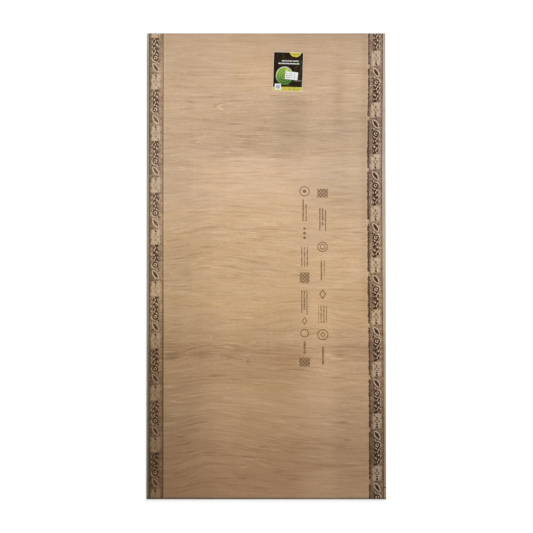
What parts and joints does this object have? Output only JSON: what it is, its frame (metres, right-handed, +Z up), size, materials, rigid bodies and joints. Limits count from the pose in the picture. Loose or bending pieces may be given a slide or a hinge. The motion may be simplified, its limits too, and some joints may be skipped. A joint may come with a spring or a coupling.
{
  "type": "plywood sheet",
  "caption": "Full sheet of plywood with sawn edges that show its crossed plies, printed ink borders on the good face, and a paper label.",
  "frame": {"origin": "centre of the back face, which lies on the floor", "axes": "+X across the sheet, +Y along its length, +Z up out of the good face"},
  "size_m": [1.22, 2.44, 0.0183],
  "materials": {
    "plywood": "sanded veneer with printed ink, sawn edges",
    "label_paper": "printed coated paper",
    "sticker_paper": "white uncoated paper"
  },
  "bodies": {
    "root": {"plywood_sheet": "plywood", "product_label": "label_paper", "price_sticker": "sticker_paper"}
  },
  "joints": []
}
